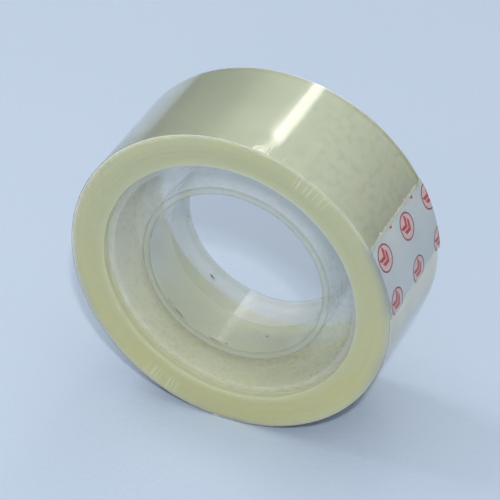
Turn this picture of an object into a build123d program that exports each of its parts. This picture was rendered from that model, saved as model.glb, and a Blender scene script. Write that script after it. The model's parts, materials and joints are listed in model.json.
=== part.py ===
from build123d import *
import os
from math import cos, radians, sin

# A roll of clear adhesive tape on its moulded plastic core, standing on its rim.
# Units are millimetres. The roll's axis is +Y and +Z is up. The origin is the middle of
# the bore, half way across the width, and -Y is the front face. An angle round the roll
# is measured from the top (+Z) towards +X, which is clockwise seen from the front.

# Tape strip
TAPE_WIDTH = 18.0
FILM_THICKNESS = 0.042
ROLL_RADIUS = 23.4
OUTER_TURN_INNER_RADIUS = ROLL_RADIUS - FILM_THICKNESS

# Core: an outer shell that carries the tape, a hub that turns on the dispenser's spindle,
# and a flat web between them, all one moulding
BORE_RADIUS = 12.7
HUB_WALL = 1.15
HUB_LENGTH = 13.2
SHELL_RADIUS = 18.6
SHELL_WALL = 1.0
SHELL_LENGTH = 15.6
WEB_THICKNESS = 1.1
WEB_ROOT_FILLET = 0.45
HUB_EDGE_FILLET = 0.3
SHELL_EDGE_FILLET = 0.2

# Free end of the tape, with the starter tab under it
LIFT_LINE_ANGLE = 60.5
FREE_END_ANGLE = 86.5
TAB_THICKNESS = 0.05
AIR_GAP = 0.04
LIFT_LINE_GAP = 0.1
FLAP_BEND_RADIUS = 25.5


def degrees_along(length, radius):
    """Angle that a length takes up along an arc of that radius."""
    return length / radius / radians(1)


def section_bar(inner_radius, outer_radius, length):
    """Rectangle in the half plane X = radius, Y = along the axis, centred on the mid-width."""
    bar = Rectangle(outer_radius - inner_radius, length)
    return Pos((inner_radius + outer_radius) / 2, 0) * bar


def corners(section, radius, half_length):
    """The section's corners at one radius and at one distance each side of the mid-width."""
    return [
        v
        for v in section.vertices()
        if abs(v.X - radius) < 1e-6 and abs(abs(v.Y) - half_length) < 1e-6
    ]


def core():
    """Shell, web and hub turned as one section, with moulded fillets."""
    hub_outer = BORE_RADIUS + HUB_WALL
    shell_inner = SHELL_RADIUS - SHELL_WALL
    section = section_bar(BORE_RADIUS, hub_outer, HUB_LENGTH)
    section += section_bar(hub_outer, shell_inner, WEB_THICKNESS)
    section += section_bar(shell_inner, SHELL_RADIUS, SHELL_LENGTH)
    for radius in (hub_outer, shell_inner):
        section = fillet(corners(section, radius, WEB_THICKNESS / 2), WEB_ROOT_FILLET)
    for radius in (BORE_RADIUS, hub_outer):
        section = fillet(corners(section, radius, HUB_LENGTH / 2), HUB_EDGE_FILLET)
    for radius in (shell_inner, SHELL_RADIUS):
        section = fillet(corners(section, radius, SHELL_LENGTH / 2), SHELL_EDGE_FILLET)
    return revolve(section, Axis.Y, 360)


def tape_winding():
    """All the wound turns but the last, which bear on each other with no gap."""
    return revolve(section_bar(SHELL_RADIUS, OUTER_TURN_INNER_RADIUS, TAPE_WIDTH), Axis.Y, 360)


def band(inner_radius, thickness, start_angle, sweep):
    """Curved strip of the tape's width about the Y axis, from start_angle on by sweep degrees."""
    section = section_bar(inner_radius, inner_radius + thickness, TAPE_WIDTH)
    return Rot(0, start_angle - 90, 0) * revolve(section, Axis.Y, sweep)


def tape_outer_turn():
    """The last turn, from the free end's place right round to the line where the end lifts."""
    sweep = LIFT_LINE_ANGLE + 360 - FREE_END_ANGLE
    return band(OUTER_TURN_INNER_RADIUS, FILM_THICKNESS, FREE_END_ANGLE, sweep)


def flap_layer(height, thickness):
    """One layer of the free end, height above the underside of the tab.

    The free end is a little straighter than the roll, so it leaves the winding slowly
    on the way to its tip. It starts LIFT_LINE_GAP past the lift line.
    """
    root_angle = LIFT_LINE_ANGLE + degrees_along(LIFT_LINE_GAP, ROLL_RADIUS)
    length = radians(FREE_END_ANGLE - root_angle) * ROLL_RADIUS
    sweep = degrees_along(length, FLAP_BEND_RADIUS)
    shift = OUTER_TURN_INNER_RADIUS + AIR_GAP - FLAP_BEND_RADIUS
    centre = Pos(shift * sin(radians(root_angle)), 0, shift * cos(radians(root_angle)))
    return centre * band(FLAP_BEND_RADIUS + height, thickness, root_angle, sweep)


def end_tab():
    """Printed starter tab stuck to the adhesive side, so that the end doesn't stick down."""
    return flap_layer(0, TAB_THICKNESS)


def tape_end():
    """The clear tape over the tab, which lifts with it."""
    return flap_layer(TAB_THICKNESS, FILM_THICKNESS)


def lift_hinge():
    """Point on the line that the free end lifts about, at the middle of the film."""
    radius = OUTER_TURN_INNER_RADIUS + AIR_GAP + TAB_THICKNESS + FILM_THICKNESS / 2
    angle = radians(LIFT_LINE_ANGLE + degrees_along(LIFT_LINE_GAP / 2, ROLL_RADIUS))
    return radius * sin(angle), 0, radius * cos(angle)


PIECES = {
    "core": core,
    "tape_winding": tape_winding,
    "tape_outer_turn": tape_outer_turn,
    "tape_end": tape_end,
    "end_tab": end_tab,
}

os.makedirs("parts", exist_ok=True)
for name, make in PIECES.items():
    piece = make()
    piece.label = name
    export_step(piece, f"parts/{name}.step")

hinge_x, _, hinge_z = lift_hinge()
print(f"lift hinge at x {hinge_x:.4f}, z {hinge_z:.4f}")
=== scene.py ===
import json
from math import ceil, cos, pi, radians, sin, tau

import bmesh
import bpy
import numpy as np
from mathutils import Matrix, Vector

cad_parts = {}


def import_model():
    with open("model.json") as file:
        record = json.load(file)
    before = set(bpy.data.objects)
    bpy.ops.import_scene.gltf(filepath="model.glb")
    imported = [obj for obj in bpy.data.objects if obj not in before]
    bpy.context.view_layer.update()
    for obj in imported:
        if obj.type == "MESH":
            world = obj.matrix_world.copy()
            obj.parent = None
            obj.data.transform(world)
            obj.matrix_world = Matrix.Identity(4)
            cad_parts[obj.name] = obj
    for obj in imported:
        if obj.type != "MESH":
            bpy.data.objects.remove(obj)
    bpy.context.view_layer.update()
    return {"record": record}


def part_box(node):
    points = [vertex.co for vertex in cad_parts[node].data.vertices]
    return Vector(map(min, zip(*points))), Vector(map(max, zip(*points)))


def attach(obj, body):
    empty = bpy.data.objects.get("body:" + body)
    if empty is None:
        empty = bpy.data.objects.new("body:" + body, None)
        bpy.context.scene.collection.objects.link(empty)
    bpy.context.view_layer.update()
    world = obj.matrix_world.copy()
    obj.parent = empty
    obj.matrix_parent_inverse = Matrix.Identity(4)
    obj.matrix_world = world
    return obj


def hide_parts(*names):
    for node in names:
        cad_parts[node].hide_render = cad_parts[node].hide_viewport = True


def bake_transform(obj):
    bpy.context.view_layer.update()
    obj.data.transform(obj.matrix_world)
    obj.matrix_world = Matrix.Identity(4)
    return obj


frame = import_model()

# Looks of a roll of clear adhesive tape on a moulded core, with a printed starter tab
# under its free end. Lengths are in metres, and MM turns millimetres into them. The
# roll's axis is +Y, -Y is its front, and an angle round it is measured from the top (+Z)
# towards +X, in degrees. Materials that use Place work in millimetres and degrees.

MM = 0.001

# Edges that turn by more than this many degrees stay sharp on a smooth piece
SHARP_ANGLE = 35

# How deep light scatters in the wound tape and in the core
SCATTER_DEPTH = 4.0 * MM

# ---------------------------------------------------------------- sizes

# From the frame. ROLL_RADIUS is the winding's, without the last turn of film on it.
ROLL_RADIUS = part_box("tape_winding")[1].z
SHELL_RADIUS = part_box("core")[1].z
SHELL_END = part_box("core")[1].y
HALF_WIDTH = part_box("tape_winding")[1].y
OUTER_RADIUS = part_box("tape_outer_turn")[1].z
BORE_RADIUS = frame["record"]["mounts"][0]["dims"]["r_mm"] * MM
HUB_LENGTH = frame["record"]["mounts"][0]["dims"]["length_mm"] * MM

# The core's own sizes, as the part has them
HUB_WALL = 1.15 * MM
SHELL_WALL = 1.0 * MM
WEB_THICKNESS = 1.1 * MM
WEB_ROOT = 0.45 * MM
SHELL_EDGE = 0.2 * MM

# The hub's edges, drawn a little sharper than the part's
HUB_EDGE = 0.25 * MM

# The mould's mark in the bore: each half widens a little towards its end, and the back
# half is wider by a step
FRONT_DRAFT = 0.02 * MM
BACK_DRAFT = 0.03 * MM
PARTING_STEP = 0.06 * MM
PARTING_HALF = 0.02 * MM

# The free end's own sizes, as the part has them
LIFT_LINE_ANGLE = 60.5
FREE_END_ANGLE = 86.5
TAB_THICKNESS = 0.05 * MM
AIR_GAP = 0.04 * MM
LIFT_LINE_GAP = 0.1 * MM
FLAP_BEND_RADIUS = 25.5 * MM

# Layers as they are drawn, each a little thinner than the part's
DRAWN_TURN = 0.040 * MM
DRAWN_FILM = 0.038 * MM
DRAWN_TAB = 0.042 * MM
LAYER_GAP = 0.003 * MM

# Places along the free end, from the lift line: its rows of points are close together up to CLOSE_ROWS
FLAP_LENGTH = radians(FREE_END_ANGLE - LIFT_LINE_ANGLE) * OUTER_RADIUS
TAB_START = LIFT_LINE_GAP + 0.05 * MM
TAB_END = FLAP_LENGTH - 0.12 * MM
CLOSE_ROWS = 3.2 * MM

# The last turn's climb onto the tab's edge: how far round it takes, in degrees, and its height
CLIMB_ANGLE = 1.6
CLIMB_HEIGHT = AIR_GAP + TAB_THICKNESS + LAYER_GAP

# Print on the tab: heights above the tab's underside, the rows' angles round the roll, and
# places across as shares of the width
INK_THICKNESS = 0.003 * MM
DISC_HEIGHT = TAB_THICKNESS - INK_THICKNESS
INK_HEIGHT = DISC_HEIGHT + 0.0035 * MM
MARK_RADIUS = 1.95 * MM
RING_WIDTH = 0.24 * MM
MARK_ROWS = (66.6, 83.0)
MARKS_ACROSS = (-0.367, 0.066, 0.5)
ARROW_TURN = 35
SPECK_RADIUS = 0.36 * MM
SPECKS_ACROSS = (-0.136, 0.28)

# Specks and rubbed lines of dirt in the bore: angle round the roll, place along its axis,
# half their length along the turn and half their width, in degrees and millimetres
DIRT = [
    (-140.0, 3.9, 1.7, 0.15),
    (-142.0, 3.6, 0.6, 0.07),
    (166.0, -2.6, 0.7, 0.15),
    (170.5, -2.9, 0.3, 0.08),
    (-137.0, -6.15, 4.5, 0.06),
    (-128.0, -6.05, 2.2, 0.05),
    (-130.5, -5.6, 0.5, 0.09),
    (-166.0, -6.2, 4.0, 0.07),
    (-173.0, -6.0, 1.0, 0.12),
    (-98.0, 5.6, 0.4, 0.16),
]

# Camera: where it stands, seen from the roll, and how far off in outer radii
CAMERA_AZIMUTH = 24
CAMERA_ELEVATION = 36
CAMERA_DISTANCE = 14.6
CAMERA_LENS = 180
CAMERA_SHIFT = (-0.0088, -0.0016)

# Room light: radiance by height of the direction, then glows as azimuth, elevation,
# sharpness and radiance. A glow falls off with the cosine of the angle from its middle,
# which counts as GLOW_FLOOR where it is less.
ROOM_SHADES = [(0.0, (0.20, 0.21, 0.22, 1)), (0.6, (0.46, 0.48, 0.505, 1))]
ROOM_GLOWS = [
    (180, 42, 13.0, (1.05, 1.02, 0.91)),
    (-12, 27, 6.0, (0.42, 0.42, 0.42)),
]
GLOW_FLOOR = 0.5

# Lamps: name, azimuth, elevation, width, height, radiance and tint
LAMP_DISTANCE = 0.6
LAMPS = [
    ("overhead", 262, 56, 0.24, 0.24, 4.3, (1.0, 0.985, 0.97)),
    ("camera_side", 27, 43.5, 0.022, 0.022, 900.0, (0.98, 0.985, 1.0)),
    ("back_lamp", 182, 42.3, 0.055, 0.10, 5.0, (1.0, 0.975, 0.90)),
    ("back_lamp_wing", 186.4, 43.0, 0.042, 0.030, 6.0, (1.0, 0.98, 0.93)),
]


# ---------------------------------------------------------------- mesh helpers

def add_object(name, verts, faces, mat, smooth=True, uvs=None):
    """New mesh object from vertices and faces, with one material and, if given, UVs by vertex."""
    mesh = bpy.data.meshes.new(name)
    mesh.from_pydata([tuple(v) for v in verts], [], faces)
    mesh.materials.append(mat)
    if uvs is not None:
        layer = mesh.uv_layers.new(name="flat")
        for loop in mesh.loops:
            layer.data[loop.index].uv = uvs[loop.vertex_index]
    mesh.validate()
    bm = bmesh.new()
    bm.from_mesh(mesh)
    bmesh.ops.recalc_face_normals(bm, faces=bm.faces)
    bm.to_mesh(mesh)
    bm.free()
    if smooth:
        mesh.shade_smooth()
        mesh.set_sharp_from_angle(angle=radians(SHARP_ANGLE))
    obj = bpy.data.objects.new(name, mesh)
    bpy.context.scene.collection.objects.link(obj)
    return obj


def polar(radius, angle, y):
    """Point at a radius and an angle in degrees from the top, at y along the axis."""
    a = radians(angle)
    return radius * sin(a), y, radius * cos(a)


def loop_faces(rows, cols, close_rows, close_cols):
    """Quads of a grid of rows by cols vertices, closed round either way if asked."""
    faces = []
    for i in range(rows if close_rows else rows - 1):
        for j in range(cols if close_cols else cols - 1):
            a = i * cols + j
            b = i * cols + (j + 1) % cols
            c = ((i + 1) % rows) * cols + (j + 1) % cols
            d = ((i + 1) % rows) * cols + j
            faces.append((a, b, c, d))
    return faces


def strip_solid(name, path, lengths, across, mat, top):
    """Closed thin strip with a low and a high skin.

    path(s, y, height) places a point, for s in lengths, y in across and height 0 or top.
    """
    verts = []
    uvs = []
    for height in (0.0, top):
        for s in lengths:
            for y in across:
                verts.append(path(s, y, height))
                uvs.append((s, y))
    n = len(lengths)
    m = len(across)
    low = loop_faces(n, m, False, False)
    faces = [f[::-1] for f in low] + [tuple(i + n * m for i in f) for f in low]
    rim = [(i, 0) for i in range(n)] + [(n - 1, j) for j in range(1, m)]
    rim += [(i, m - 1) for i in range(n - 2, -1, -1)] + [(0, j) for j in range(m - 2, 0, -1)]
    ring = [i * m + j for i, j in rim]
    for k, a in enumerate(ring):
        b = ring[(k + 1) % len(ring)]
        faces.append((a, b, b + n * m, a + n * m))
    return add_object(name, verts, faces, mat, uvs=uvs)


# ---------------------------------------------------------------- material helpers

class Nodes:
    """Short way to write a node tree round one Principled shader."""

    def __init__(self, name):
        self.mat = bpy.data.materials.new(name)
        self.mat.use_nodes = True
        self.tree = self.mat.node_tree
        self.shader = next(n for n in self.tree.nodes if n.type == "BSDF_PRINCIPLED")

    def add(self, kind, inputs=None, **settings):
        node = self.tree.nodes.new(kind)
        for key, value in settings.items():
            setattr(node, key, value)
        for key, value in (inputs or {}).items():
            self.feed(node.inputs[key], value)
        return node

    def feed(self, socket, value):
        """Links a socket to another node's output, or sets it to a plain value."""
        if isinstance(value, bpy.types.NodeSocket):
            self.tree.links.new(value, socket)
        else:
            socket.default_value = value

    def set(self, **values):
        """Shader inputs, with spaces in their names written as underscores."""
        for key, value in values.items():
            self.feed(self.shader.inputs[key.replace("_", " ")], value)

    def math(self, operation, a, b=0.0):
        return self.add("ShaderNodeMath", {0: a, 1: b}, operation=operation).outputs[0]

    def times(self, first, *others):
        """Product of two or more values."""
        product = first
        for other in others:
            product = self.math("MULTIPLY", product, other)
        return product

    def ramp(self, value, low, high, to_low=0.0, to_high=1.0, smooth=False):
        """value from low..high mapped to to_low..to_high, held beyond them."""
        inputs = {
            "Value": value, "From Min": low, "From Max": high,
            "To Min": to_low, "To Max": to_high,
        }
        kind = "SMOOTHSTEP" if smooth else "LINEAR"
        return self.add("ShaderNodeMapRange", inputs, interpolation_type=kind).outputs[0]

    def mix(self, share, a, b):
        """Colour a where the share is 0 and b where it is 1."""
        node = self.add("ShaderNodeMix", data_type="RGBA")
        for socket, value in ((0, share), (6, a), (7, b)):
            self.feed(node.inputs[socket], value)
        return node.outputs[2]

    def mix_value(self, share, a, b):
        """Number a where the share is 0 and b where it is 1."""
        node = self.add("ShaderNodeMix", data_type="FLOAT")
        for socket, value in ((0, share), (2, a), (3, b)):
            self.feed(node.inputs[socket], value)
        return node.outputs[0]

    def vector(self, x, y, z):
        return self.add("ShaderNodeCombineXYZ", {0: x, 1: y, 2: z}).outputs[0]

    def noise(self, where, scale, detail=2.0, roughness=0.5):
        inputs = {"Vector": where, "Scale": scale, "Detail": detail, "Roughness": roughness}
        return self.add("ShaderNodeTexNoise", inputs).outputs[0]

    def side_noise(self, at, per_degree, per_mm, layer, detail, roughness=0.5):
        """Noise on the roll's side, with its own stretch along the turn and across the tape."""
        where = self.vector(self.times(at.angle, per_degree), self.times(at.y, per_mm), layer)
        return self.noise(where, 1.0, detail, roughness)

    def window(self, value, centre, half, soft):
        """1 within half of the centre, falling to 0 over soft on each side."""
        away = self.math("ABSOLUTE", self.math("SUBTRACT", value, centre))
        return self.ramp(away, half + soft, half, smooth=True)

    def bump(self, height, distance, after=None):
        """Normal tilted by a height map, on top of an earlier bump if one is given."""
        inputs = {"Height": height, "Distance": distance, "Strength": 1.0}
        if after is not None:
            inputs["Normal"] = after
        return self.add("ShaderNodeBump", inputs).outputs[0]


class Place:
    """The shaded point as shader values, in millimetres and degrees.

    radius is from the roll's axis, angle is from the top and below is from the lowest
    line, both towards +X. across is the distance from the middle of the width.
    """

    def __init__(self, m):
        source = m.add("ShaderNodeTexCoord").outputs["Object"]
        scaled = m.add("ShaderNodeVectorMath", {0: source}, operation="SCALE")
        scaled.inputs["Scale"].default_value = 1 / MM
        self.where = scaled.outputs[0]
        self.x, self.y, self.z = m.add("ShaderNodeSeparateXYZ", {0: self.where}).outputs
        squares = m.math("ADD", m.math("POWER", self.x, 2.0), m.math("POWER", self.z, 2.0))
        self.radius = m.math("SQRT", squares)
        self.angle = m.times(m.math("ARCTAN2", self.x, self.z), 180 / pi)
        self.below = m.times(m.math("ARCTAN2", self.x, m.times(self.z, -1.0)), 180 / pi)
        self.across = m.math("ABSOLUTE", self.y)


def colour(r, g, b):
    return (r, g, b, 1.0)


# ---------------------------------------------------------------- materials

def wound_tape_material():
    """Many turns of clear film seen together: pale yellow-green, with smooth cut ends and painted
    light on the inner wall.
    """
    m = Nodes("wound_tape")
    at = Place(m)
    half_width = HALF_WIDTH / MM
    is_end = m.ramp(at.across, half_width - 0.12, half_width - 0.07)
    ring_place = m.vector(m.times(at.radius, 9.0), m.times(at.angle, 0.012), 0.0)
    rings = m.noise(ring_place, 1.0, 4.0, 0.7)

    inside = SHELL_RADIUS / MM
    inner_wall = m.ramp(at.radius, inside + 0.2, inside + 0.1)
    # Painted light on the inner wall: lighter where it shows past the shell's end, lighter still
    # behind the shell
    lit_bare_edge = colour(0.54, 0.55, 0.37)
    lit_behind_shell = colour(0.88, 0.90, 0.72)
    shell_end = SHELL_END / MM
    lit_inner_wall = m.mix(m.ramp(at.across, shell_end + 0.4, shell_end - 0.4), lit_bare_edge, lit_behind_shell)
    walled = m.mix(inner_wall, wound_side_colour(m, at), lit_inner_wall)
    m.set(Base_Color=m.mix(is_end, walled, cut_face_colour(m, at, rings)))

    m.set(Roughness=m.ramp(is_end, 0.0, 1.0, 0.5, 0.4), IOR=1.5)
    m.set(Specular_IOR_Level=m.ramp(is_end, 0.0, 1.0, 0.7, 0.5))
    m.set(Subsurface_Weight=1.0, Subsurface_Scale=SCATTER_DEPTH)
    m.set(Subsurface_Radius=(1.0, 0.95, 0.6))
    m.set(Normal=m.bump(m.times(rings, is_end), 0.03 * MM))
    return m.mat


def cut_face_colour(m, at, rings):
    """Colour of the flat end faces, with the turns' fine rings, two groups of small cuts and painted
    light and shade on the outer rim.
    """
    foot = colour(0.60, 0.58, 0.285)
    head = colour(0.535, 0.55, 0.345)
    near_core = colour(0.50, 0.51, 0.345)
    dark_turn = colour(0.45, 0.455, 0.29)
    dull_blotch = colour(0.52, 0.53, 0.36)
    cut = colour(0.74, 0.75, 0.60)
    # Painted light and shade for the outer rim: lighter at the foot, darker and greyer at the head
    rim_foot_light = colour(0.66, 0.63, 0.38)
    rim_head_shade = colour(0.41, 0.435, 0.40)

    base = m.mix(m.ramp(at.z, -20.0, 16.0, smooth=True), foot, head)
    greyer = m.mix(m.ramp(at.radius, 20.4, 19.0, 0.0, 0.55, smooth=True), base, near_core)
    lined = m.mix(m.ramp(rings, 0.35, 0.75, 0.0, 0.3), greyer, dark_turn)
    blotch = m.noise(at.where, 0.11, 3.0, 0.6)
    mottled = m.mix(m.ramp(blotch, 0.4, 0.7, 0.0, 0.3), lined, dull_blotch)
    ticks = m.math("MAXIMUM", cut_ticks(m, at, 32.5, 6.5), cut_ticks(m, at, -152.0, 6.0))
    on_front = m.ramp(at.y, 0.0, -1.0)
    ticked = m.mix(m.times(ticks, on_front, 0.6), mottled, cut)
    # Painted light and shade: the outer rim lighter towards the foot, darker and greyer towards the
    # head
    rim = m.mix(m.ramp(at.z, -22.0, -6.0, smooth=True), rim_foot_light, rim_head_shade)
    return m.mix(m.ramp(at.radius, 22.0, 23.2, 0.0, 0.75), ticked, rim)


def cut_ticks(m, at, centre, half):
    """Mask of short radial lines near the outer rim, in a group round one angle."""
    near = m.window(at.angle, centre, half, 2.0)
    outer = m.window(at.radius, 21.9, 0.6, 1.0)
    uneven = m.noise(m.vector(m.times(at.angle, 0.30), 0.0, 9.0), 1.0, 2.0)
    shifted = m.math("ADD", at.angle, m.times(uneven, 6.0))
    wave = m.math("SINE", m.times(shifted, radians(360 / 2.2)))
    lines = m.times(m.ramp(wave, -0.2, 1.0, smooth=True), m.ramp(uneven, 0.30, 0.60, 0.3, 1.0))
    return m.times(lines, m.times(near, outer))


def wound_side_colour(m, at):
    """Colour of the rolled side under the last turn of film, stretch by stretch round it; most
    stretches carry painted light, shade and reflection.
    """
    green = colour(0.245, 0.282, 0.175)
    light_green = colour(0.29, 0.322, 0.212)
    shade_band_green = colour(0.222, 0.255, 0.162)
    reflection_grey = colour(0.44, 0.48, 0.43)
    before_tab_light_tint = colour(0.36, 0.385, 0.28)
    under_tab_light_tint = colour(0.68, 0.68, 0.51)
    past_tab_reflection_tint = colour(0.82, 0.80, 0.60)
    bottom_reflection_tint = colour(0.46, 0.50, 0.42)
    back_edge_shade_tint = colour(0.15, 0.165, 0.13)

    cloudy = m.side_noise(at, 0.055, 0.09, 0.0, 4.0, 0.6)
    base = m.mix(m.ramp(cloudy, 0.3, 0.7), green, light_green)
    # Painted shade: a darker band just left of the top
    shaded_left_of_top = m.mix(m.window(at.angle, -18.0, 9.0, 10.0), base, shade_band_green)
    # Painted reflection of the floor: the side greyer from -30 degrees leftwards
    reflecting_left_side = m.mix(m.ramp(at.angle, -30.0, -46.0, smooth=True), shaded_left_of_top, reflection_grey)
    # Painted light: a lighter stretch before the tab
    lit_before_tab = m.mix(m.window(at.angle, 50.0, 12.0, 18.0), reflecting_left_side, before_tab_light_tint)
    # Painted reflection of the floor and painted light: the side pale past the free end
    past_end = m.ramp(at.angle, FREE_END_ANGLE - 0.1, FREE_END_ANGLE + 0.7)
    reflecting_past_tab = m.mix(past_end, lit_before_tab, past_tab_reflection_tint)
    # Painted reflection of the floor and painted light: paler towards the bottom
    reflecting_bottom = m.mix(m.window(at.below, 0.0, 14.0, 38.0), reflecting_past_tab, bottom_reflection_tint)
    # Painted light under the tab, against the flap's shadow
    lit_under_tab = m.mix(m.window(at.angle, 74.0, 12.2, 0.8), reflecting_bottom, under_tab_light_tint)
    # Painted shade: darker along the back edge near the top
    back_edge_shade = m.times(m.ramp(at.y, 7.9, 8.8), m.window(at.angle, 20.0, 40.0, 10.0))
    return m.mix(m.times(back_edge_shade, 0.8), lit_under_tab, back_edge_shade_tint)


def core_material():
    """Translucent natural moulding: clear and scuffed in the bore, frosted outside the hub."""
    m = Nodes("core_plastic")
    at = Place(m)
    cloud = m.noise(at.where, 0.16, 4.0, 0.6)
    frost = m.noise(at.where, 1.1, 4.0, 0.7)
    dark_spots = m.noise(at.where, 1.35, 1.0, 0.5)
    scuff_place = m.vector(m.times(at.radius, 1.3), m.times(at.y, 1.3), m.times(at.angle, 0.045))
    scuffs = m.noise(scuff_place, 1.0, 5.0, 0.72)
    bore = BORE_RADIUS / MM
    in_bore = m.ramp(at.radius, bore + 0.5, bore + 0.3)
    hub_outer = (BORE_RADIUS + HUB_WALL) / MM
    outside_hub = m.ramp(at.radius, hub_outer + 0.05, hub_outer + 0.45)

    tinted = core_tint(m, at, cloud, in_bore)
    frost_share = m.times(m.ramp(frost, 0.45, 0.65, 0.0, 0.35), outside_hub)
    frosted = m.mix(frost_share, tinted, colour(0.98, 0.99, 0.97))
    scuff_share = m.times(m.ramp(scuffs, 0.60, 0.85), m.mix_value(outside_hub, 0.18, 0.0))
    scuffed = m.mix(scuff_share, frosted, colour(0.42, 0.44, 0.36))
    m.set(Base_Color=m.mix(m.ramp(dark_spots, 0.80, 0.83), scuffed, colour(0.05, 0.05, 0.045)))

    m.set(Roughness=m.mix_value(in_bore, m.ramp(frost, 0.3, 0.7, 0.24, 0.34), 0.13), IOR=1.49)
    m.set(Subsurface_Weight=1.0, Subsurface_Scale=SCATTER_DEPTH)
    m.set(Subsurface_Radius=(1.0, 1.0, 0.95))
    m.set(Alpha=0.36)
    grainy = m.times(frost, outside_hub)
    soft = m.bump(grainy, 0.02 * MM, after=m.bump(cloud, 0.25 * MM))
    scratches = m.times(scuffs, m.mix_value(outside_hub, 1.0, 0.0))
    m.set(Normal=m.bump(scratches, 0.006 * MM, after=soft))
    return m.mat


def core_tint(m, at, cloud, in_bore):
    """Colour of the clean moulding: hub, web, shell and the hub's ring-shaped ends, with painted light
    and shade.
    """
    hub_outer = (BORE_RADIUS + HUB_WALL) / MM
    hub_end = HUB_LENGTH / 2 / MM
    shell_inner = (SHELL_RADIUS - SHELL_WALL) / MM
    thin_milk = colour(0.60, 0.65, 0.62)
    thick_milk = colour(0.71, 0.755, 0.735)
    painted_light_top = colour(0.98, 0.99, 0.96)
    front_bore_shade_tint = colour(0.57, 0.60, 0.42)
    back_tint = colour(0.50, 0.53, 0.42)
    light_patch_tint = colour(0.97, 0.96, 0.90)
    shell_foot = colour(0.72, 0.74, 0.54)
    lit_shell_head = colour(0.97, 0.98, 0.90)
    hub_end_shade = colour(0.30, 0.32, 0.22)
    ring_light = colour(0.54, 0.56, 0.41)

    milky = m.mix(m.ramp(cloud, 0.3, 0.7), thin_milk, thick_milk)
    beyond_bore = m.ramp(at.radius, hub_outer - 0.35, hub_outer - 0.05)
    # Painted light: outside the bore the moulding turns lighter towards the top
    top_light_share = m.times(m.ramp(at.z, 4.0, 12.0, smooth=True), beyond_bore)
    base = m.mix(top_light_share, milky, painted_light_top)

    front_half = m.ramp(at.y, 0.3, -0.3)
    # Painted shade: the lower front half of the bore darker and yellower
    front_bore_shade = m.times(m.ramp(at.z, 2.0, -12.0, smooth=True), front_half, in_bore)
    front_done = m.mix(m.times(front_bore_shade, 0.9), base, front_bore_shade_tint)
    back_half = m.times(in_bore, m.ramp(at.y, -0.1, 0.2))
    back_done = m.mix(m.times(back_half, 0.8), front_done, back_tint)
    # Painted light: a pale cream patch low on the back half of the bore
    light_patch = m.times(m.ramp(at.below, -16.2, -14.4), m.ramp(at.below, 55.0, 12.0, smooth=True))
    bore_done = m.mix(m.times(light_patch, back_half), back_done, light_patch_tint)

    # Painted light: the shell yellower at its foot, lighter towards the top
    shell = m.mix(m.ramp(at.z, -16.0, -3.0), shell_foot, lit_shell_head)
    shelled = m.mix(m.ramp(at.radius, shell_inner - 1.0, shell_inner - 0.4), bore_done, shell)
    on_hub = m.ramp(at.radius, hub_outer + 0.35, hub_outer + 0.15)
    hub_ends = m.times(m.ramp(at.across, hub_end - 0.35, hub_end - 0.1), on_hub)
    mid_wall = m.window(at.radius, (BORE_RADIUS + HUB_WALL / 2) / MM, 0.18, 0.3)
    # Painted shade: the hub's end faces dark, lighter only across the middle of the wall
    return m.mix(hub_ends, shelled, m.mix(mid_wall, hub_end_shade, ring_light))


def film_material():
    """Clear glossy film: faint waves, air trapped near the tab, ripples at the front edge."""
    m = Nodes("clear_film")
    at = Place(m)
    wave = m.side_noise(at, 0.05, 0.06, 4.0, 3.0, 0.55)
    lines = m.side_noise(at, 0.05, 1.1, 8.0, 2.0, 0.6)
    trapped = m.side_noise(at, 0.34, 0.62, 3.0, 4.0, 0.65)
    ripples = m.side_noise(at, 0.33, 0.30, 12.0, 2.0)

    clear = m.mix(m.ramp(wave, 0.35, 0.65), colour(0.935, 0.95, 0.935), colour(0.99, 0.99, 0.98))
    bubbles = m.times(m.ramp(trapped, 0.48, 0.70), m.window(at.angle, 42.0, 14.0, 20.0))
    blotched = m.mix(bubbles, clear, colour(0.85, 0.87, 0.86))
    ragged_angle = m.math("ADD", at.angle, m.times(lines, 1.4))
    lift_line = m.window(ragged_angle, LIFT_LINE_ANGLE - 0.1, 0.25, 0.35)
    m.set(Base_Color=m.mix(lift_line, blotched, colour(0.99, 0.97, 0.96)))

    front = -HALF_WIDTH / MM
    front_edge = m.ramp(at.y, front / 2, front, smooth=True)
    m.set(Transmission_Weight=1.0, IOR=1.47)
    m.set(Roughness=m.math("ADD", m.ramp(wave, 0.3, 0.7, 0.08, 0.12), m.times(front_edge, 0.06)))
    even = m.bump(wave, 0.03 * MM, after=m.bump(lines, 0.006 * MM))
    rippled = m.bump(m.times(ripples, front_edge), 0.035 * MM, after=even)
    loose = m.ramp(m.math("ABSOLUTE", m.math("SUBTRACT", at.angle, 9.0)), 9.0, 0.0)
    m.set(Normal=m.bump(m.times(loose, front_edge), 0.13 * MM, after=rippled))
    return m.mat


def tab_material():
    """Pale blue-white film of the starter tab, with a painted highlight along its cut end."""
    m = Nodes("tab_film")
    flat = m.add("ShaderNodeTexCoord").outputs["UV"]
    grain = m.noise(flat, 900.0, 4.0, 0.6)
    cloud = m.noise(flat, 160.0, 2.0, 0.5)
    base = m.mix(m.ramp(cloud, 0.3, 0.7), colour(0.425, 0.475, 0.49), colour(0.48, 0.525, 0.54))
    grained = m.mix(m.ramp(grain, 0.3, 0.8, 0.0, 0.2), base, colour(0.52, 0.57, 0.60))
    length = m.add("ShaderNodeSeparateXYZ", {0: flat}).outputs[0]
    cut_edge_highlight = m.ramp(length, TAB_END - 0.30 * MM, TAB_END - 0.12 * MM)
    # Painted highlight along the cut end
    m.set(Base_Color=m.mix(cut_edge_highlight, grained, colour(0.80, 0.82, 0.82)))
    m.set(Roughness=m.ramp(grain, 0.3, 0.7, 0.3, 0.42), IOR=1.5)
    m.set(Normal=m.bump(grain, 0.01 * MM))
    return m.mat


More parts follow.
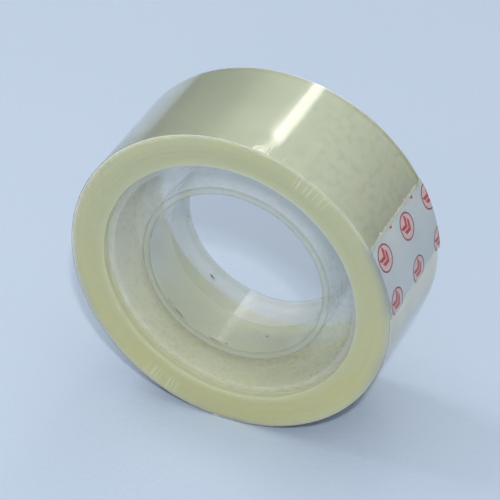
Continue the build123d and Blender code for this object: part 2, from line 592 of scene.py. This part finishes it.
def adhesive_line_material():
    """Pale adhesive with air trapped in it."""
    m = Nodes("adhesive_line")
    froth = m.noise(Place(m).where, 3.0, 3.0, 0.7)
    share = m.ramp(froth, 0.35, 0.65)
    m.set(Base_Color=m.mix(share, colour(0.40, 0.44, 0.36), colour(0.56, 0.60, 0.53)))
    m.set(Roughness=m.ramp(froth, 0.3, 0.7, 0.35, 0.5), IOR=1.45)
    return m.mat


def dirt_material():
    """Dry dark dirt rubbed into the plastic."""
    m = Nodes("dirt")
    grain = m.noise(Place(m).where, 5.0, 3.0, 0.7)
    share = m.ramp(grain, 0.35, 0.65)
    m.set(Base_Color=m.mix(share, colour(0.035, 0.035, 0.03), colour(0.12, 0.12, 0.10)))
    m.set(Roughness=m.ramp(grain, 0.3, 0.7, 0.6, 0.8))
    return m.mat


def ink_material(name, thin, dense):
    """Printing ink, denser in some spots than in others."""
    m = Nodes(name)
    flat = m.add("ShaderNodeTexCoord").outputs["UV"]
    spread = m.noise(flat, 2600.0, 3.0, 0.7)
    m.set(Base_Color=m.mix(m.ramp(spread, 0.35, 0.65), thin, dense))
    m.set(Roughness=m.ramp(spread, 0.3, 0.7, 0.4, 0.55), IOR=1.45)
    return m.mat


def floor_material():
    """Plain pale surface with a faint grain."""
    m = Nodes("floor")
    at = Place(m)
    cloud = m.noise(at.where, 0.012, 2.0, 0.5)
    grain = m.noise(at.where, 1.4, 3.0, 0.6)
    base = m.mix(cloud, colour(0.52, 0.62, 0.765), colour(0.56, 0.655, 0.79))
    m.set(Base_Color=m.mix(m.ramp(grain, 0.3, 0.7, 0.0, 0.25), base, colour(0.57, 0.66, 0.79)))
    m.set(Roughness=m.ramp(grain, 0.3, 0.7, 0.6, 0.75), Specular_IOR_Level=0.25)
    m.set(Normal=m.bump(grain, 0.08 * MM))
    return m.mat


# ---------------------------------------------------------------- the core

def rounded(points, steps=4):
    """Closed outline of (r, y, reach) points, with a corner rounded over its reach if it has one."""
    out = []
    for i, (r, y, reach) in enumerate(points):
        corner = Vector((r, y))
        if not reach:
            out.append(corner)
            continue
        before = Vector(points[i - 1][:2]) - corner
        after = Vector(points[(i + 1) % len(points)][:2]) - corner
        a = corner + before.normalized() * reach
        b = corner + after.normalized() * reach
        for k in range(steps + 1):
            t = k / steps
            out.append(a * (1 - t) ** 2 + corner * 2 * t * (1 - t) + b * t * t)
    return out


def filled_in(outline, longest):
    """The outline with its long sides cut into shorter ones."""
    out = []
    for i, a in enumerate(outline):
        b = outline[(i + 1) % len(outline)]
        pieces = max(1, int(ceil((b - a).length / longest)))
        out += [a.lerp(b, k / pieces) for k in range(pieces)]
    return out


def core(mat):
    """Shell, web and hub as one moulding, with the mould's parting step half way down the bore."""
    segments = 240
    longest_side = 0.6 * MM
    hub_end = HUB_LENGTH / 2
    hub_outer = BORE_RADIUS + HUB_WALL
    shell_inner = SHELL_RADIUS - SHELL_WALL
    shell_outer = SHELL_RADIUS - 0.01 * MM
    web = WEB_THICKNESS / 2
    outline = rounded([
        (BORE_RADIUS + FRONT_DRAFT, -hub_end, HUB_EDGE),
        (hub_outer, -hub_end, HUB_EDGE),
        (hub_outer, -web, WEB_ROOT),
        (shell_inner, -web, WEB_ROOT),
        (shell_inner, -SHELL_END, SHELL_EDGE),
        (shell_outer, -SHELL_END, SHELL_EDGE),
        (shell_outer, SHELL_END, SHELL_EDGE),
        (shell_inner, SHELL_END, SHELL_EDGE),
        (shell_inner, web, WEB_ROOT),
        (hub_outer, web, WEB_ROOT),
        (hub_outer, hub_end, HUB_EDGE),
        (BORE_RADIUS + PARTING_STEP + BACK_DRAFT, hub_end, HUB_EDGE),
        (BORE_RADIUS + PARTING_STEP, PARTING_HALF, 0),
        (BORE_RADIUS, -PARTING_HALF, 0),
    ])
    outline = filled_in(outline, longest_side)
    verts = [polar(p.x, 360 * k / segments, p.y) for p in outline for k in range(segments)]
    return add_object("moulded_core", verts, loop_faces(len(outline), segments, True, True), mat)


def bore_wall(y):
    """Radius of the moulding's bore at y, each side of its parting step."""
    depth = abs(y) / (HUB_LENGTH / 2)
    if y < 0:
        return BORE_RADIUS + FRONT_DRAFT * depth
    return BORE_RADIUS + PARTING_STEP + BACK_DRAFT * depth


def dirt_speck(verts, faces, speck, rng):
    """Adds one thin irregular closed patch that lies on the bore."""
    angle, y, half_angle, half_width = speck
    sides = 18
    sunk = -0.02 * MM
    proud = 0.008 * MM
    swell = 1 + rng.uniform(-0.35, 0.35, sides)
    first = len(verts)
    for height in (sunk, proud):
        for k in range(sides):
            turn = tau * k / sides
            across = (y + half_width * swell[k] * sin(turn)) * MM
            along = angle + half_angle * swell[k] * cos(turn)
            verts.append(polar(bore_wall(across) - height, along, across))
    for k in range(sides):
        n = (k + 1) % sides
        faces.append((first + k, first + n, first + n + sides, first + k + sides))
    faces.append(tuple(first + k for k in reversed(range(sides))))
    faces.append(tuple(first + sides + k for k in range(sides)))


def dirt(mat):
    """All the specks of dirt in the bore."""
    rng = np.random.default_rng(5)
    verts = []
    faces = []
    for speck in DIRT:
        dirt_speck(verts, faces, speck, rng)
    return add_object("bore_dirt", verts, faces, mat, smooth=False)


# ---------------------------------------------------------------- the wound tape

def turn_offsets(rng, turns):
    """How far each turn's edge stands out, in millimetres, and its wobble's phase."""
    drift = np.cumsum(rng.normal(0, 0.0035, turns + 1))
    drift -= np.linspace(drift[0], drift[-1], turns + 1)
    jitter = rng.uniform(-0.012, 0.012, turns + 1)
    phase = rng.uniform(0, tau, turns + 1)
    return np.clip(drift, -0.03, 0.03) + jitter, phase


def wound_tape(mat):
    """Ring of wound turns, each end face stepped turn by turn as the turns lie."""
    segments = 288
    pitch = 0.0445 * MM
    most_lift = 0.045 * MM
    wobble_height = 0.006
    swell_height = 0.008 * MM
    outside = ROLL_RADIUS - 0.03 * MM
    turns = int((outside - SHELL_RADIUS) / pitch)
    end_y = HALF_WIDTH - 0.05 * MM
    side_end = end_y - 0.25 * MM
    rng = np.random.default_rng(11)
    angles = [360 * k / segments for k in range(segments)]
    radii = np.linspace(SHELL_RADIUS + 0.01 * MM, outside, turns + 1)

    verts = []
    for side in (-1, 1):
        offsets, phase = turn_offsets(rng, turns)
        order = range(turns + 1) if side < 0 else range(turns, -1, -1)
        for k in order:
            for angle in angles:
                wobble = wobble_height * sin(radians(angle) + phase[k])
                lift = max(-most_lift, min(most_lift, (offsets[k] + wobble) * MM))
                verts.append(polar(radii[k], angle, side * (end_y + lift)))
        if side < 0:
            for y in np.linspace(-side_end, side_end, 11):
                for angle in angles:
                    swell = swell_height * sin(radians(3 * angle) + y / HALF_WIDTH * 2)
                    verts.append(polar(outside + swell, angle, y))
    rows = len(verts) // segments
    return add_object("wound_tape", verts, loop_faces(rows, segments, True, True), mat)


def climb(share):
    """How high the last turn has climbed, at a share of its way onto the tab's edge."""
    t = max(0.0, min(1.0, share))
    return CLIMB_HEIGHT * t * t * (3 - 2 * t)


def outer_turn(mat):
    """Last turn of film, which climbs onto the tab's edge just before the lift line."""
    start = FREE_END_ANGLE + 0.4
    end = LIFT_LINE_ANGLE + 360
    sunk = 0.004 * MM
    climb_rows = 8

    def place(angle, y, height):
        climbed = climb((angle - end + CLIMB_ANGLE) / CLIMB_ANGLE)
        return polar(ROLL_RADIUS - sunk + height + climbed, angle, y)

    steps = list(np.linspace(start, end - CLIMB_ANGLE, 300))
    steps += [end - CLIMB_ANGLE * (1 - k / climb_rows) for k in range(1, climb_rows + 1)]
    across = np.linspace(-HALF_WIDTH, HALF_WIDTH, 13)
    return strip_solid("outer_turn", place, steps, across, mat, DRAWN_TURN)


# ---------------------------------------------------------------- the free end

def flap_point(s, y, height):
    """Point on the free end: s along it from the lift line, height above the tab's underside."""
    shift = ROLL_RADIUS + AIR_GAP - FLAP_BEND_RADIUS
    centre_x, _, centre_z = polar(shift, LIFT_LINE_ANGLE, 0)
    angle = LIFT_LINE_ANGLE + s / FLAP_BEND_RADIUS * 180 / pi
    x, _, z = polar(FLAP_BEND_RADIUS + height, angle, 0)
    return centre_x + x, y, centre_z + z


def flap_steps():
    """Places along the free end where its pieces have a row of points, close where it bends."""
    bent = np.arange(0.0, CLOSE_ROWS, 0.1 * MM)
    return list(bent) + list(np.arange(CLOSE_ROWS, FLAP_LENGTH, 0.4 * MM))


def flap_sheet(name, height, thickness, start, end, mat):
    """One layer of the free end, from start to end along it, at a height above the tab's underside."""
    margin = 0.02 * MM
    inner = [s for s in flap_steps() if start + margin < s < end - margin]
    across = np.linspace(-HALF_WIDTH, HALF_WIDTH, 25)

    def place(s, y, up):
        return flap_point(s, y, height + up)

    return strip_solid(name, place, [start] + inner + [end], across, mat, thickness)


def adhesive_line(mat):
    """Ragged wedge of trapped air and adhesive where the film climbs off the winding."""
    shortest = 0.02
    longest = 0.85
    foot = 0.12 * MM
    film_clearance = 0.007 * MM
    thinnest = 0.004 * MM
    underside = 0.001 * MM
    climb_length = radians(CLIMB_ANGLE) * OUTER_RADIUS
    rng = np.random.default_rng(23)
    across = np.linspace(-HALF_WIDTH, HALF_WIDTH, 145)
    rough = np.convolve(rng.uniform(0, 1, across.size), (0.2, 0.3, 0.3, 0.2), mode="same") ** 2
    reach = {y: (shortest + longest * share) * MM for y, share in zip(across, rough)}

    def place(share, y, is_top):
        s = -reach[y] + share * (reach[y] + foot)
        under_film = climb(1 + s / climb_length) - film_clearance
        above_winding = max(thinnest, under_film) if is_top else underside
        return flap_point(s, y, above_winding - AIR_GAP)

    return strip_solid("adhesive_line", place, np.linspace(0, 1, 6), across, mat, 1.0)


# ---------------------------------------------------------------- print on the tab

def cut_flat(bm, point, normal, clear):
    """Cuts a flat mesh by a plane, and clears what lies beyond it if asked."""
    geometry = bm.verts[:] + bm.edges[:] + bm.faces[:]
    bmesh.ops.bisect_plane(
        bm, geom=geometry, plane_co=Vector(point), plane_no=Vector(normal), clear_outer=clear,
    )


def flat_to_flap(name, bm, mat, height):
    """Cuts a flat (s, y) mesh at the tab's edges, thickens it and bends it onto the tab."""
    cut_flat(bm, (TAB_START, 0, 0), (-1, 0, 0), True)
    cut_flat(bm, (TAB_END, 0, 0), (1, 0, 0), True)
    cut_flat(bm, (0, HALF_WIDTH, 0), (0, 1, 0), True)
    cut_flat(bm, (0, -HALF_WIDTH, 0), (0, -1, 0), True)
    for s in flap_steps():
        cut_flat(bm, (s, 0, 0), (1, 0, 0), False)
    bmesh.ops.remove_doubles(bm, verts=bm.verts[:], dist=1e-7)
    made = bmesh.ops.extrude_face_region(bm, geom=bm.faces[:])
    for v in made["geom"]:
        if isinstance(v, bmesh.types.BMVert):
            v.co.z += INK_THICKNESS
    bm.verts.index_update()
    flat = [v.co.copy() for v in bm.verts]
    faces = [tuple(v.index for v in f.verts) for f in bm.faces]
    bm.free()
    verts = [flap_point(p.x, p.y, height + p.z) for p in flat]
    uvs = [(p.x, p.y) for p in flat]
    return add_object(name, verts, faces, mat, smooth=False, uvs=uvs)


def circle(bm, centre, radius, sides):
    """Vertices round a centre in the flat."""
    s, y = centre
    turns = [tau * k / sides for k in range(sides)]
    return [bm.verts.new((s + radius * cos(a), y + radius * sin(a), 0)) for a in turns]


def disc_shape(bm, centre, radius, sides=56):
    """Flat disc of one face."""
    bm.faces.new(circle(bm, centre, radius, sides))


def ring_shape(bm, centre, inner_radius, outer_radius, sides=56):
    """Flat ring of four-sided faces."""
    inner = circle(bm, centre, inner_radius, sides)
    outer = circle(bm, centre, outer_radius, sides)
    for k in range(sides):
        n = (k + 1) % sides
        bm.faces.new((inner[k], outer[k], outer[n], inner[n]))


def arrow_shape(bm, centre):
    """Two thin chevrons, one behind the other, slanted by ARROW_TURN."""
    wing = MARK_RADIUS * 0.54
    sweep = MARK_RADIUS * 0.432
    stroke = MARK_RADIUS * 0.351
    a = radians(ARROW_TURN)
    s, y = centre
    for tip in (MARK_RADIUS * 0.08, MARK_RADIUS * 0.56):
        half = [(tip, 0), (tip - sweep, wing), (tip - sweep - stroke, wing), (tip - stroke, 0)]
        for side in (1, -1):
            corners = []
            for u, v in half:
                w = v * side
                point = (s + u * cos(a) - w * sin(a), y + u * sin(a) + w * cos(a), 0)
                corners.append(bm.verts.new(point))
            bm.faces.new(corners if side > 0 else corners[::-1])


def mark_places():
    """Centres of the printed marks in the flat: s from the lift line, y across."""
    return [
        (radians(row - LIFT_LINE_ANGLE) * OUTER_RADIUS, share * 2 * HALF_WIDTH)
        for row in MARK_ROWS
        for share in MARKS_ACROSS
    ]


def print_marks(ink, ring_ink, tint):
    """Rings with a chevron in them, on paler discs, and the specks at the tab's root."""
    rings = bmesh.new()
    arrows = bmesh.new()
    discs = bmesh.new()
    for centre in mark_places():
        ring_shape(rings, centre, MARK_RADIUS - RING_WIDTH, MARK_RADIUS)
        arrow_shape(arrows, centre)
        disc_shape(discs, centre, MARK_RADIUS - 0.5 * RING_WIDTH)
    for share in SPECKS_ACROSS:
        disc_shape(arrows, (TAB_START, share * 2 * HALF_WIDTH), SPECK_RADIUS, sides=20)
    return [
        flat_to_flap("mark_discs", discs, tint, DISC_HEIGHT),
        flat_to_flap("mark_rings", rings, ring_ink, INK_HEIGHT),
        flat_to_flap("mark_arrows", arrows, ink, INK_HEIGHT),
    ]


# ---------------------------------------------------------------- stage, camera, light

def floor(mat):
    """Square of floor that faces up, level with the roll's lowest line."""
    half = 0.42
    n = 9
    points = np.linspace(-half, half, n)
    verts = [(x, y, -OUTER_RADIUS) for x in points for y in points]
    obj = add_object("floor", verts, loop_faces(n, n, False, False), mat)
    if obj.data.polygons[0].normal.z < 0:
        obj.data.flip_normals()
    return obj


def direction(azimuth, elevation):
    """Unit vector from the roll towards a place: azimuth 0 is in front, 90 is at +X."""
    a = radians(azimuth)
    e = radians(elevation)
    return Vector((sin(a) * cos(e), -cos(a) * cos(e), sin(e)))


def aim_at_roll(obj, toward, distance):
    """Stands a lamp or camera at a distance from the roll, facing it."""
    obj.location = toward * distance
    obj.rotation_mode = "QUATERNION"
    obj.rotation_quaternion = (-toward).to_track_quat("-Z", "Y")
    bpy.context.scene.collection.objects.link(obj)


def camera():
    """The main view, from the front, the right and above."""
    data = bpy.data.cameras.new("camera")
    data.lens = CAMERA_LENS
    data.sensor_width = 36
    data.shift_x, data.shift_y = CAMERA_SHIFT
    data.clip_start = 0.01
    data.clip_end = 10
    obj = bpy.data.objects.new("camera", data)
    toward = direction(CAMERA_AZIMUTH, CAMERA_ELEVATION)
    aim_at_roll(obj, toward, CAMERA_DISTANCE * OUTER_RADIUS)
    bpy.context.scene.camera = obj


def area_light(name, azimuth, elevation, width, height, radiance, tint):
    """Soft box that faces the roll. radiance is how bright its face looks."""
    data = bpy.data.lights.new(name, "AREA")
    data.shape = "RECTANGLE"
    data.size = width
    data.size_y = height
    data.energy = radiance * pi * width * height
    data.color = tint
    obj = bpy.data.objects.new(name, data)
    aim_at_roll(obj, direction(azimuth, elevation), LAMP_DISTANCE)


def glow(tree, place, under, azimuth, elevation, sharpness, strength):
    """Adds a broad glow round one direction to the room's colour so far."""
    along = tree.nodes.new("ShaderNodeVectorMath")
    along.operation = "DOT_PRODUCT"
    along.inputs[1].default_value = direction(azimuth, elevation)
    ahead = tree.nodes.new("ShaderNodeMath")
    ahead.operation = "MAXIMUM"
    ahead.inputs[1].default_value = GLOW_FLOOR
    power = tree.nodes.new("ShaderNodeMath")
    power.operation = "POWER"
    power.inputs[1].default_value = sharpness
    added = tree.nodes.new("ShaderNodeVectorMath")
    added.operation = "MULTIPLY_ADD"
    added.inputs[1].default_value = strength
    tree.links.new(place, along.inputs[0])
    tree.links.new(along.outputs["Value"], ahead.inputs[0])
    tree.links.new(ahead.outputs[0], power.inputs[0])
    tree.links.new(power.outputs[0], added.inputs[0])
    tree.links.new(under, added.inputs[2])
    return added.outputs[0]


def world():
    """Soft room: dim at the horizon, paler overhead, with two broad glows of light."""
    room = bpy.data.worlds.new("room")
    bpy.context.scene.world = room
    room.use_nodes = True
    tree = room.node_tree
    back = next(n for n in tree.nodes if n.type == "BACKGROUND")
    place = tree.nodes.new("ShaderNodeTexCoord").outputs["Generated"]
    parts = tree.nodes.new("ShaderNodeSeparateXYZ")
    shade = tree.nodes.new("ShaderNodeValToRGB")
    tree.links.new(place, parts.inputs[0])
    tree.links.new(parts.outputs[2], shade.inputs[0])
    for stop, (position, tint) in zip(shade.color_ramp.elements, ROOM_SHADES):
        stop.position = position
        stop.color = tint
    total = shade.outputs[0]
    for azimuth, elevation, sharpness, strength in ROOM_GLOWS:
        total = glow(tree, place, total, azimuth, elevation, sharpness, strength)
    tree.links.new(total, back.inputs["Color"])


def lights():
    """All the lamps."""
    for lamp in LAMPS:
        area_light(*lamp)


# ---------------------------------------------------------------- put together

def ride_free_end(obj):
    """Bakes a free-end piece's transform into its mesh."""
    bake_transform(obj)


def see_light_through(obj):
    """Clear film lets light reach what lies under it."""
    obj.visible_shadow = False


def build():
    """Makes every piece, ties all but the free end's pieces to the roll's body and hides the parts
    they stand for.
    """
    tape = wound_tape(wound_tape_material())
    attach(tape, "roll")
    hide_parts("tape_winding")

    film = film_material()
    turn = outer_turn(film)
    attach(turn, "roll")
    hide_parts("tape_outer_turn")
    see_light_through(turn)

    film_height = TAB_THICKNESS + LAYER_GAP
    end = flap_sheet("free_end_film", film_height, DRAWN_FILM, 0.0, FLAP_LENGTH, film)
    ride_free_end(end)
    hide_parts("tape_end")
    see_light_through(end)

    tab = flap_sheet("starter_tab", LAYER_GAP, DRAWN_TAB, TAB_START, TAB_END, tab_material())
    ride_free_end(tab)
    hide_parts("end_tab")

    ink = ink_material("tab_ink", colour(0.50, 0.04, 0.04), colour(0.38, 0.015, 0.02))
    ring_ink = ink_material("tab_ring_ink", colour(0.30, 0.05, 0.06), colour(0.20, 0.02, 0.03))
    tint = ink_material("tab_tint", colour(0.60, 0.43, 0.42), colour(0.54, 0.36, 0.36))
    for piece in print_marks(ink, ring_ink, tint):
        ride_free_end(piece)

    line = adhesive_line(adhesive_line_material())
    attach(line, "roll")

    moulding = core(core_material())
    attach(moulding, "roll")
    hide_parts("core")

    specks = dirt(dirt_material())
    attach(specks, "roll")


bpy.context.scene.view_settings.view_transform = "Standard"
camera()
world()
lights()
floor(floor_material())
build()
